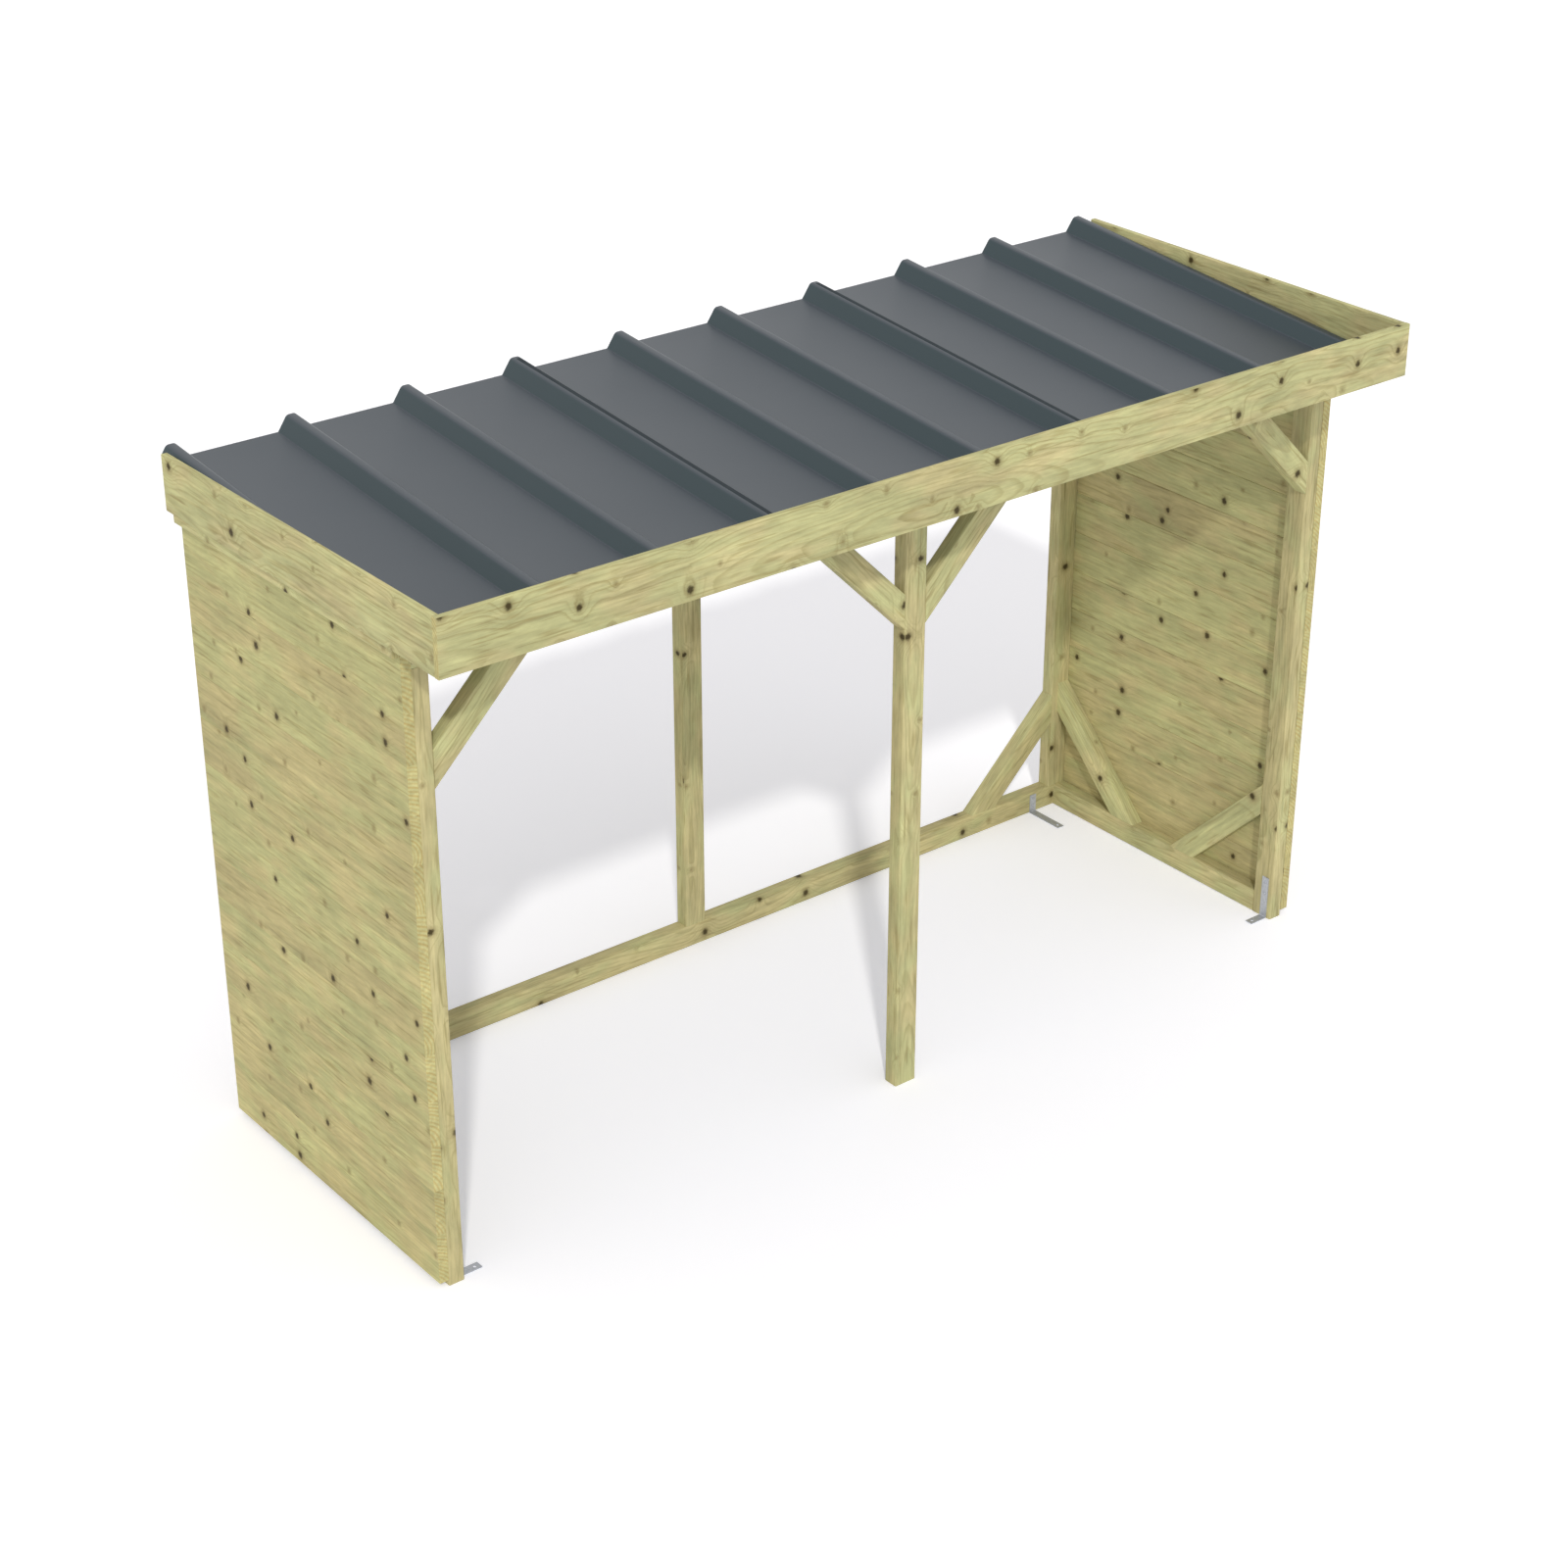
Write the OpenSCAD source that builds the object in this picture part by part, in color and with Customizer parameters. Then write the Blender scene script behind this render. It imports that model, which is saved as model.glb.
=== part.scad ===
// Open log store: post-and-beam pine frame, boarded ends, low steel roof behind a fascia.
// Millimetres, +Z up. The open front faces -Y. The origin is on the ground, in the middle of
// the overall length and depth.

/* [Frame] */
// Length over the corner posts
frame_len = 2964; // [2400:2:3600]
// Depth from the front face of the front posts to the rear face of the rear posts
frame_depth = 1000; // [850:5:1200]
// Height of the roof's underside at the front face of the frame
eaves_height = 1783; // [1650:1:1950]
// Fall of the roof from back to front, in percent
roof_fall = 8.7; // [4:0.1:12]

/* [Timber] */
// Thickness of posts, sills, rail, beams and braces
timber_t = 45; // [38:1:58]
// Width of the posts
post_w = 70; // [60:1:95]
// Height of the ground sills and the rear ground rail
rail_h = 70; // [55:1:95]
// Height of the front and rear beams
beam_h = 95; // [70:1:120]
// Width of the braces
brace_w = 70; // [50:1:90]
// Reach of the front braces along post and beam
front_brace_reach = 315; // [220:1:420]
// Reach of the side wall braces along post and sill
wall_brace_reach = 360; // [220:1:420]
// Reach of the rear braces along post and rail
rear_brace_reach = 325; // [220:1:420]
// Planed chamfer along the edges of posts, sills and rail
arris = 3; // [1:0.5:5]

/* [End walls] */
// Thickness of the wall boards
board_t = 27; // [18:1:34]
// Height that one wall board covers
board_cover = 129; // [90:1:160]
// Height of the lowest board above the ground
ground_gap = 18; // [10:1:50]
// Width of the V joint between two boards, inside
joint_w = 5; // [3:0.5:10]
// Depth of the V joint between two boards, inside
joint_d = 4; // [2:0.5:7]
// Width of the tight seam between two boards, outside
seam_w = 2; // [1:0.5:4]
// Depth of the tight seam between two boards, outside
seam_d = 1.5; // [0.5:0.5:3]
// Height of the side rafters at the front face of the frame
rafter_h = 57; // [40:1:90]
// Distance that the side rafters stand out past the wall boards
rafter_out = 19; // [5:1:25]

/* [Fascia] */
// Thickness of the fascia boards
fascia_t = 17; // [12:1:28]
// Height of the fascia boards
fascia_h = 147; // [120:1:170]
// Height of the fascia's top edge above the roof's underside at the front of the frame
fascia_rise = 126; // [115:1:140]
// Distance from the front face of the frame to the inside of the front fascia
front_overhang = 205; // [120:1:300]

/* [Roof sheets] */
// Number of bays between ribs in one sheet
bays = 3; // [2:1:4]
// Thickness of a sheet
sheet_t = 1; // [0.8:0.1:1.5]
// Height of a rib, over the sheet
rib_h = 42; // [30:1:50]
// Width of a rib across its flat top
rib_top = 24; // [16:1:34]
// Width of a rib at its foot
rib_foot = 74; // [56:1:90]
// Play between two ribs where sheets lap
lap_play = 0.3; // [0.3:0.1:1]
// Height above the pan at which a lapping rib ends
lap_lift = 4; // [3:0.5:10]
// Height of the trimmed flank that ends the roof beside each side fascia
edge_drop = 21; // [10:1:28]
// Gap between the roof's side edges and the side fascias
side_gap = 3; // [2:0.5:12]
// Gap between the roof's lower edge and the front fascia
drip_gap = 15; // [10:1:30]
// Length of the roof sheets behind the frame
sheet_tail = 37; // [20:1:80]

/* [Anchor brackets] */
// Width of a bracket
bracket_w = 25; // [20:1:40]
// Thickness of a bracket
bracket_t = 2.5; // [2:0.5:4]
// Long leg of a bracket
bracket_long = 135; // [100:1:160]
// Short leg of a bracket
bracket_short = 62; // [55:1:65]
// Diameter of the ground anchor hole
anchor_d = 9; // [7:0.5:12]
// Distance from the end of the ground leg to the centre of its hole
anchor_inset = 15; // [12:1:20]
// Distance from the front face of the frame to the front brackets
bracket_set = 14; // [5:1:25]
// Distance from the rear corner posts to the middle of the rear brackets
rear_bracket_in = 65; // [30:1:120]

/* [Hidden] */

pine = [0.79, 0.77, 0.56];
pine_shade = [0.72, 0.70, 0.49];
anthracite = [0.36, 0.38, 0.40];
zinc = [0.62, 0.64, 0.65];

// Depth of the whole store, and the planes of the frame's front and rear faces
whole_depth = fascia_t + front_overhang + frame_depth + sheet_tail;
front_y = -whole_depth / 2 + fascia_t + front_overhang;
rear_y = front_y + frame_depth;

// Half lengths: outer faces of the corner posts, wall boards and side rafters
post_x = frame_len / 2;
wall_x = post_x + board_t;
rafter_x = wall_x + rafter_out;

// Heights
front_head = eaves_height - beam_h;
rear_head = roof_z(rear_y - timber_t) - beam_h;
wall_top = eaves_height - rafter_h;
fascia_top = eaves_height + fascia_rise;

// Number of wall boards; the lowest and the topmost show a little more than their cover
boards = floor((wall_top - ground_gap) / board_cover);
end_board = (wall_top - ground_gap - (boards - 2) * board_cover) / 2;

// Number of roof sheets side by side
sheets = 3;

// Roof sheets: slope, run along the slope, rib spacing and the profile's underside
slope = atan(roof_fall / 100);
run_front = -(front_overhang - drip_gap) / cos(slope);
run_rear = (frame_depth + sheet_tail) / cos(slope);
roof_half = rafter_x - side_gap;
rib_rise = rib_h - sheet_t;
edge_flank = edge_drop * (rib_foot - rib_top) / 2 / rib_rise;
rib_span = 2 * (roof_half - edge_flank) - rib_top;
rib_pitch = rib_span / (sheets * bays);
rib_side = norm([(rib_foot - rib_top) / 2, rib_rise]);
lap = sheet_t + lap_play;

// Bend radius on the inside of a bracket
bend_r = bracket_t;

// Distance that a drilled hole's cutter runs past both faces
cut = bracket_t / 2;

// Underside of the roof sheets' pans at a given depth
function roof_z(y) = eaves_height + (y - front_y) * roof_fall / 100;

// ---- Shapes --------------------------------------------------------------------------------

// Extrudes a [y, z] outline along X, from x0 over a length
module along_x(x0, length) {
    translate([x0, 0, 0])
        rotate([90, 0, 90])
            linear_extrude(length) children();
}

// Extrudes an [x, z] outline along Y, from y0 over a length
module along_y(y0, length) {
    translate([0, y0 + length, 0])
        rotate([90, 0, 0])
            linear_extrude(length) children();
}

// Rectangle with its corners planed off
module planed(w, h) {
    polygon([[arris, 0], [w - arris, 0], [w, arris], [w, h - arris],
             [w - arris, h], [arris, h], [0, h - arris], [0, arris]]);
}

// Upright timber with its lower corner at [x, y, z0]
module upright(x, y, z0, w, d, z1) {
    translate([x, y, z0])
        linear_extrude(z1 - z0) planed(w, d);
}

// Beam along X whose top is planed to the fall of the roof
module roof_beam(y, z) {
    color(pine)
        along_x(-post_x, frame_len)
            polygon([[y, z], [y + timber_t, z],
                     [y + timber_t, roof_z(y + timber_t)], [y, roof_z(y)]]);
}

// Outline of a 45 degree brace that fills a corner: [0, 0] is the corner, the two timbers that
// it joins run along [a, 0] and [0, b]
module brace_outline(reach, a, b) {
    inner = reach - brace_w * sqrt(2);
    polygon([[a * reach, 0], [0, b * reach], [0, b * inner], [a * inner, 0]]);
}

// Brace in a plane parallel to the front: corner at [x, z], front face at y
module cross_brace(x, y, z, reach, a, b) {
    color(pine_shade)
        along_y(y, timber_t)
            translate([x, z]) brace_outline(reach, a, b);
}

// Brace in the plane of an end wall: corner at [y, z], inner or outer face at x
module wall_brace(x, y, a) {
    color(pine_shade)
        along_x(x, timber_t)
            translate([y, rail_h]) brace_outline(wall_brace_reach, a, 1);
}

// ---- Frame ---------------------------------------------------------------------------------

module corner_front_post(x) {
    color(pine) upright(x, front_y, 0, timber_t, post_w, front_head);
}

module centre_front_post() {
    color(pine) upright(-post_w / 2, front_y, 0, post_w, timber_t, front_head);
}

module rear_post(x) {
    color(pine) upright(x, rear_y - timber_t, rail_h, post_w, timber_t, rear_head);
}

module sill(x) {
    start = front_y + post_w;
    color(pine)
        along_y(start, rear_y - timber_t - start)
            translate([x, 0]) planed(timber_t, rail_h);
}

module rear_rail() {
    color(pine)
        along_x(-post_x, frame_len)
            translate([rear_y - timber_t, 0]) planed(timber_t, rail_h);
}

module front_beam() { roof_beam(front_y, front_head); }

module rear_beam() { roof_beam(rear_y - timber_t, rear_head); }

// Front brace under the beam, beside the post face at x; a is the side that it leans to
module front_brace(x, a) {
    cross_brace(x, front_y, front_head, front_brace_reach, a, -1);
}

// Rear brace on the rail, beside the corner post's inner face at x
module rear_brace(x, a) {
    cross_brace(x, rear_y - timber_t, rail_h, rear_brace_reach, a, 1);
}

module wall_front_brace(x) { wall_brace(x, front_y + post_w, 1); }

module wall_rear_brace(x) { wall_brace(x, rear_y - timber_t, -1); }

// ---- End walls -----------------------------------------------------------------------------

// Edge of the boards going up one face, with V cuts of width w that reach in by d along x
function board_edge(x, w, d) = [
    for (i = [1 : boards - 1])
        let (z = ground_gap + end_board + (i - 1) * board_cover)
            each [[x, z - w / 2], [x + d, z], [x, z + w / 2]]
];

function reversed(list) = [for (i = [len(list) - 1 : -1 : 0]) list[i]];

module left_wall_boards() {
    outside = board_edge(-wall_x, seam_w, seam_d);
    inside = board_edge(-post_x, joint_w, -joint_d);
    color(pine)
        along_y(front_y, frame_depth)
            polygon(concat([[-post_x, ground_gap], [-wall_x, ground_gap]], outside,
                           [[-wall_x, wall_top], [-post_x, wall_top]], reversed(inside)));
}

module right_wall_boards() {
    mirror([1, 0, 0]) left_wall_boards();
}

// Side rafter on the top edge of the boards, its own top planed to the fall of the roof
module rafter(x) {
    color(pine_shade)
        along_x(x, rafter_x - post_x)
            polygon([[front_y, wall_top], [rear_y, wall_top],
                     [rear_y, roof_z(rear_y)], [front_y, roof_z(front_y)]]);
}

// ---- Fascia --------------------------------------------------------------------------------

module side_fascia(x) {
    length = front_overhang + frame_depth;
    color(pine)
        translate([x, rear_y - length, fascia_top - fascia_h])
            cube([fascia_t, length, fascia_h]);
}

// The front board runs past the side boards and covers their ends
module front_fascia() {
    length = 2 * (rafter_x + fascia_t);
    color(pine)
        translate([-length / 2, front_y - front_overhang - fascia_t, fascia_top - fascia_h])
            cube([length, fascia_t, fascia_h]);
}

// ---- Roof sheets ---------------------------------------------------------------------------

// Half widths of a rib whose underside is raised by s, so that it nests over a plain rib
function rib_half_foot(s) = rib_foot / 2 + s * rib_side / rib_rise;
function rib_half_top(s) = rib_top / 2 + s * (rib_side - (rib_foot - rib_top) / 2) / rib_rise;

// Point at height z on a rib's sloping side; side is -1 on the left and 1 on the right
function rib_point(c, side, s, z) =
    [c + side * (rib_half_foot(s)
                 - z / (rib_rise + s) * (rib_half_foot(s) - rib_half_top(s))), z];

// Underside of a whole rib from foot to foot
function whole_rib(c, s) = [rib_point(c, -1, s, 0), rib_point(c, -1, s, rib_rise + s),
                            rib_point(c, 1, s, rib_rise + s), rib_point(c, 1, s, 0)];

function rib_c(i) = -rib_span / 2 + i * rib_pitch;

// First rib of a sheet: trimmed beside the fascia, or tucked under the sheet before it
function first_rib(c, trimmed) =
    [rib_point(c, -1, 0, trimmed ? rib_rise - edge_drop : lap_lift), rib_point(c, -1, 0, rib_rise),
     rib_point(c, 1, 0, rib_rise), rib_point(c, 1, 0, 0)];

// Last rib of a sheet: trimmed beside the fascia, or lapped over the sheet after it
function last_rib(c, trimmed) =
    trimmed ? [rib_point(c, -1, 0, 0), rib_point(c, -1, 0, rib_rise),
               rib_point(c, 1, 0, rib_rise), rib_point(c, 1, 0, rib_rise - edge_drop)]
            : [rib_point(c, -1, lap, 0), rib_point(c, -1, lap, rib_rise + lap),
               rib_point(c, 1, lap, rib_rise + lap), rib_point(c, 1, lap, lap_lift)];

// Underside of one sheet, k = 0 for the left-hand one
function sheet_path(k) =
    concat(first_rib(rib_c(k * bays), k == 0),
           [for (i = [1 : bays - 1]) each whole_rib(rib_c(k * bays + i), 0)],
           last_rib(rib_c((k + 1) * bays), k == sheets - 1));

// Closed outline of a strip of thickness t that lies on a path, with mitred bends
function edge_normal(p, q) = [p[1] - q[1], q[0] - p[0]] / norm(q - p);
function mitre(a, b) = (a + b) / (1 + a * b);
function strip(path, t) =
    let (n = [for (i = [0 : len(path) - 2]) edge_normal(path[i], path[i + 1])],
         last = len(path) - 1,
         shift = [for (i = [0 : last]) i == 0 ? n[0] : i == last ? n[last - 1] : mitre(n[i - 1], n[i])])
    concat(path, [for (i = [last : -1 : 0]) path[i] + t * shift[i]]);

module roof_sheet(k) {
    color(anthracite)
        translate([0, front_y, eaves_height])
            rotate([slope, 0, 0])
                along_y(run_front, run_rear - run_front)
                    polygon(strip(sheet_path(k), sheet_t));
}

// ---- Anchor brackets -----------------------------------------------------------------------

// Bent strip: the upright leg lies on the plane x = 0 and the ground leg runs to +x
module bracket_outline(ground, up) {
    bend = bend_r + bracket_t;
    translate([bend, 0]) square([ground - bend, bracket_t]);
    translate([0, bend]) square([bracket_t, up - bend]);
    translate([bend, bend])
        difference() {
            intersection() {
                circle(bend, $fn = 48);
                translate([-bend, -bend]) square(bend);
            }
            circle(bend_r, $fn = 48);
        }
}

// Bracket with its ground leg to +x and its width from y = 0
module bracket(ground, up) {
    color(zinc)
        difference() {
            along_y(0, bracket_w) bracket_outline(ground, up);
            translate([ground - anchor_inset, bracket_w / 2, -cut])
                cylinder(d = anchor_d, h = bracket_t + 2 * cut, $fn = 32);
        }
}

// Front bracket: long leg up the corner post's inner face, short leg on the ground
module left_front_bracket() {
    translate([-post_x + timber_t, front_y + bracket_set, 0])
        bracket(bracket_short, bracket_long);
}

module right_front_bracket() {
    mirror([1, 0, 0]) left_front_bracket();
}

// Rear bracket: short leg up the rail's front face, long leg on the ground towards the front
module rear_bracket(x) {
    translate([x - bracket_w / 2, rear_y - timber_t, 0])
        rotate([0, 0, -90])
            bracket(bracket_long, bracket_short);
}

// ---- Sub-parts -----------------------------------------------------------------------------

inner_x = post_x - timber_t;
rear_inner_x = post_x - post_w;

corner_front_post(-post_x);  // left_front_post
centre_front_post();
corner_front_post(inner_x);  // right_front_post
rear_post(-post_x);  // left_rear_post
rear_post(-post_w / 2);  // centre_rear_post
rear_post(rear_inner_x);  // right_rear_post
sill(-post_x);  // left_sill
sill(inner_x);  // right_sill
rear_rail();
front_beam();
rear_beam();
front_brace(-inner_x, 1);  // left_front_brace
front_brace(-post_w / 2, -1);  // centre_left_brace
front_brace(post_w / 2, 1);  // centre_right_brace
front_brace(inner_x, -1);  // right_front_brace
wall_front_brace(-post_x);  // left_wall_front_brace
wall_rear_brace(-post_x);  // left_wall_rear_brace
wall_front_brace(inner_x);  // right_wall_front_brace
wall_rear_brace(inner_x);  // right_wall_rear_brace
rear_brace(-rear_inner_x, 1);  // rear_left_brace
rear_brace(rear_inner_x, -1);  // rear_right_brace
left_wall_boards();
right_wall_boards();
rafter(-rafter_x);  // left_rafter
rafter(post_x);  // right_rafter
side_fascia(-rafter_x - fascia_t);  // left_fascia
front_fascia();
side_fascia(rafter_x);  // right_fascia
roof_sheet(0);  // left_roof_sheet
roof_sheet(1);  // middle_roof_sheet
roof_sheet(2);  // right_roof_sheet
left_front_bracket();
right_front_bracket();
rear_bracket(-rear_inner_x + rear_bracket_in);  // left_rear_bracket
rear_bracket(rear_inner_x - rear_bracket_in);  // right_rear_bracket
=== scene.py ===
# %% [markdown]
# # An open log store, dressed around its measured frame
#
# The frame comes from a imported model: every post, board and sheet is already there at its real
# size and in its real place, in metres. This lesson gives those pieces their finish. Timbers get
# rounded edges, sawn ends and real pine grain, each end wall becomes thirteen separate boards, and
# the roof sheets get the soft bends of folded steel.

import math
import random

import bmesh
import bpy
from mathutils import Matrix, Vector


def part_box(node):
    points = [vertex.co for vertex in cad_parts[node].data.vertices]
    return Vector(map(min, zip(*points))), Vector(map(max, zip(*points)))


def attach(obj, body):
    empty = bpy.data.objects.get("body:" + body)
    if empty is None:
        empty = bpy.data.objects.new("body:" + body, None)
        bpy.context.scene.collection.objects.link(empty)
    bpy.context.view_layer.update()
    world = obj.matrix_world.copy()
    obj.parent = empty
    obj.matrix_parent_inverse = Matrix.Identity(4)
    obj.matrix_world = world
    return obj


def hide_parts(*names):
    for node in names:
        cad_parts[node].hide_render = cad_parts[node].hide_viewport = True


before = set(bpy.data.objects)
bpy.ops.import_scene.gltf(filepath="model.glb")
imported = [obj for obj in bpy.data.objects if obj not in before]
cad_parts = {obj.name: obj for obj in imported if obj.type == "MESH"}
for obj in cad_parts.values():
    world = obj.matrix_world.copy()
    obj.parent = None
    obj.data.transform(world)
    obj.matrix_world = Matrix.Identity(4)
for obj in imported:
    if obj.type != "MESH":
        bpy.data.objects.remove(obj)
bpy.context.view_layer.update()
dice = random.Random(7)


# %% [markdown]
# ## Camera
#
# The store is seen from its front left corner and from well above the roof, through a longish
# lens, so that its long lines stay nearly parallel. Placing the camera by the point that it looks
# at, two angles and a distance is easier to reason about than typing a position, because each
# number then has one plain meaning.

# %% Camera
LOOK_AT = Vector((-0.3522, -0.3162, 1.0))
AZIMUTH = math.radians(-38.378)
ELEVATION = math.radians(27.465)
DISTANCE = 7.757
LENS = 69.79

away = Vector((math.sin(AZIMUTH) * math.cos(ELEVATION),
               -math.cos(AZIMUTH) * math.cos(ELEVATION),
               math.sin(ELEVATION)))
bpy.ops.object.camera_add(location=LOOK_AT + away * DISTANCE)
camera = bpy.context.object
camera.name = "camera"
camera.rotation_euler = (-away).to_track_quat("-Z", "Y").to_euler()
camera.data.lens = LENS
camera.data.sensor_width = 36
bpy.context.scene.camera = camera
bpy.context.scene.view_settings.view_transform = "Standard"
print("camera stands at", [round(c, 3) for c in camera.location])


# %% [markdown]
# ## Light and floor
#
# A log store stands outdoors, so one soft sun and a bright, faintly warm sky light it. The sky
# sheds a little more light from the front than from the rear, as an open lawn before a hedge
# would. A second, weak lamp stands for the light that pale surroundings throw back under the
# roof. It casts no shadow, because such light comes from everywhere and draws none.
#
# Camera and reflections see plain white instead of the sky, which keeps the background white
# without bleaching the wood. The floor does the same trick: for the camera it is two diffuse
# shaders added up, with a faint glow, so that open ground clips to white while the shadow stays
# soft and neutral. The light that it throws back onto the timber is that of plain white ground.

# %% Node helpers
def node(tree, kind, **values):
    """Adds a node. Values are its properties, or its inputs where the name is in_ and a number."""
    new = tree.nodes.new(kind)
    for key, value in values.items():
        if not key.startswith("in_"):
            setattr(new, key, value)
    for key, value in values.items():
        if key.startswith("in_"):
            feed(tree, value, new.inputs[int(key[3:])])
    return new


def feed(tree, value, socket):
    """Links an output to a socket, or sets the socket to a plain value."""
    if isinstance(value, bpy.types.NodeSocket):
        tree.links.new(value, socket)
    else:
        socket.default_value = value


def calc(tree, operation, a, b=0.0, c=0.0):
    """A Math node and its result."""
    return node(tree, "ShaderNodeMath", operation=operation, in_0=a, in_1=b, in_2=c).outputs[0]


def times(tree, a, b):
    """Multiplies two values."""
    return calc(tree, "MULTIPLY", a, b)


def swing(tree, value, amount, middle):
    """Lets a value from 0 to 1 swing by an amount about a middle."""
    return calc(tree, "MULTIPLY_ADD", calc(tree, "SUBTRACT", value, 0.5), amount, middle)


def hypotenuse(tree, a, b):
    """The length of two sides at a right angle."""
    return calc(tree, "SQRT", calc(tree, "ADD", times(tree, a, a), times(tree, b, b)))


def inverted(tree, value):
    """One minus a value."""
    return calc(tree, "SUBTRACT", 1.0, value)


def step_between(tree, value, low, high):
    """Rises smoothly from 0 at low to 1 at high."""
    new = node(tree, "ShaderNodeMapRange", interpolation_type="SMOOTHSTEP",
               in_0=value, in_1=low, in_2=high)
    return new.outputs[0]


def blend_colours(tree, factor, a, b, mode="MIX"):
    """Mixes two colours."""
    new = tree.nodes.new("ShaderNodeMix")
    new.data_type = "RGBA"
    new.blend_type = mode
    feed(tree, factor, new.inputs["Factor"])
    feed(tree, a, new.inputs[6])
    feed(tree, b, new.inputs[7])
    return new.outputs[2]


def vector_of(tree, x, y, z=0.0):
    """Joins three numbers into a vector."""
    return node(tree, "ShaderNodeCombineXYZ", in_0=x, in_1=y, in_2=z).outputs[0]


def seen_rays(tree):
    """1 for rays that show the background: from the camera, a reflection or through glass."""
    rays = tree.nodes.new("ShaderNodeLightPath")
    seen = calc(tree, "MAXIMUM", rays.outputs["Is Camera Ray"], rays.outputs["Is Glossy Ray"])
    return calc(tree, "MAXIMUM", seen, rays.outputs["Is Transmission Ray"])


def noise(tree, vector, scale, detail=2.0, roughness=0.5):
    """Soft noise from 0 to 1, read at a vector."""
    new = node(tree, "ShaderNodeTexNoise")
    feed(tree, vector, new.inputs["Vector"])
    new.inputs["Scale"].default_value = scale
    new.inputs["Detail"].default_value = detail
    new.inputs["Roughness"].default_value = roughness
    return new.outputs["Fac"]


print("node helpers ready")

# %% Sky and sun
SKY_LIGHT = 0.68
SKY_FRONT = 0.21
SKY_WARM = (1.0, 0.955, 0.83, 1)
SKY_COOL = (1.0, 1.01, 1.04, 1)
SUN_LIGHT = 1.21
SUN_TRAVELS = Vector((0.441, 0.634, -0.635))
SUN_SOFTNESS = math.radians(2.6)
FILL_LIGHT = 0.30
FILL_TRAVELS = Vector((0.90, 0.35, -0.25))

world = bpy.data.worlds.new("sky")
bpy.context.scene.world = world
world.use_nodes = True
sky = world.node_tree
sky.nodes.clear()
seen = seen_rays(sky)
towards = node(sky, "ShaderNodeTexCoord").outputs["Generated"]
towards = node(sky, "ShaderNodeSeparateXYZ", in_0=towards)
strength = calc(sky, "MULTIPLY_ADD", towards.outputs[1], -SKY_FRONT, SKY_LIGHT)
front_share = calc(sky, "MULTIPLY_ADD", towards.outputs[1], -0.5, 0.5)
tint = blend_colours(sky, front_share, SKY_WARM, SKY_COOL)
shed = node(sky, "ShaderNodeBackground", in_0=tint, in_1=strength)
plain = node(sky, "ShaderNodeBackground", in_0=(1, 1, 1, 1), in_1=1.0)
either = node(sky, "ShaderNodeMixShader", in_0=seen, in_1=shed.outputs[0], in_2=plain.outputs[0])
node(sky, "ShaderNodeOutputWorld", in_0=either.outputs[0])


def add_sun(name, place, light, travels):
    """A sun lamp. Only the way that its light travels matters, its place doesn't."""
    bpy.ops.object.light_add(type="SUN", location=place)
    lamp = bpy.context.object
    lamp.name = name
    lamp.data.energy = light
    lamp.rotation_euler = travels.to_track_quat("-Z", "Y").to_euler()
    return lamp


sun = add_sun("sun", (-3, -4, 4), SUN_LIGHT, SUN_TRAVELS)
sun.data.angle = SUN_SOFTNESS
fill = add_sun("fill", (-5, -2, 2), FILL_LIGHT, FILL_TRAVELS)
fill.data.use_shadow = False
print("sky sheds", SKY_LIGHT, "the sun", SUN_LIGHT, "and the fill lamp", FILL_LIGHT)

# %% Floor
FLOOR_SIZE = 60.0
FLOOR_BOUNCE = (0.92, 0.92, 0.92, 1)
FLOOR_SHADE = (0.530, 0.520, 0.505, 1)
FLOOR_GLOW = (0.117, 0.134, 0.206, 1)
FLOOR_DROP = 0.0005

bpy.ops.object.select_all(action="DESELECT")
bpy.ops.mesh.primitive_plane_add(size=FLOOR_SIZE, location=(0, 0, -FLOOR_DROP))
floor = bpy.context.object
floor.name = "floor"
bpy.ops.object.transform_apply(location=True, rotation=True, scale=True)
paper = bpy.data.materials.new("white_floor")
paper.use_nodes = True
tree = paper.node_tree
tree.nodes.clear()
bounce = node(tree, "ShaderNodeBsdfDiffuse", in_0=FLOOR_BOUNCE)
shade = node(tree, "ShaderNodeBsdfDiffuse", in_0=FLOOR_SHADE)
glow = node(tree, "ShaderNodeEmission", in_0=FLOOR_GLOW, in_1=1.0)
lifted = node(tree, "ShaderNodeAddShader", in_0=shade.outputs[0], in_1=shade.outputs[0])
lifted = node(tree, "ShaderNodeAddShader", in_0=lifted.outputs[0], in_1=glow.outputs[0])
seen = seen_rays(tree)
either = node(tree, "ShaderNodeMixShader", in_0=seen, in_1=bounce.outputs[0], in_2=lifted.outputs[0])
node(tree, "ShaderNodeOutputMaterial", in_0=either.outputs[0])
floor.data.materials.append(paper)
print("floor", FLOOR_SIZE, "m square")


# %% [markdown]
# ## Pine, as a node group
#
# Every timber here is pressure-treated pine: pale, half beige and half green from the salts, with
# long grain lines and small dark knots. A sheet of noise painted on each face would look wrong at
# the edges, because real grain runs through the wood. So each piece carries its own coordinates,
# called grain: how far along, across and through the timber a point lies. Growth rings are then
# simply circles about a pith that wanders along the log, and any face cuts them as a saw would.

# %% Knots group
def group_sockets(group, inputs, outputs):
    """Gives a shader group its named inputs (with start values) and outputs."""
    for name, kind, value in inputs:
        socket = group.interface.new_socket(name, in_out="INPUT", socket_type=kind)
        if value is not None:
            socket.default_value = value
    for name, kind in outputs:
        group.interface.new_socket(name, in_out="OUTPUT", socket_type=kind)
    return group.nodes.new("NodeGroupInput"), group.nodes.new("NodeGroupOutput")


FLOAT = "NodeSocketFloat"
COLOUR = "NodeSocketColor"
VECTOR = "NodeSocketVector"

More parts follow.
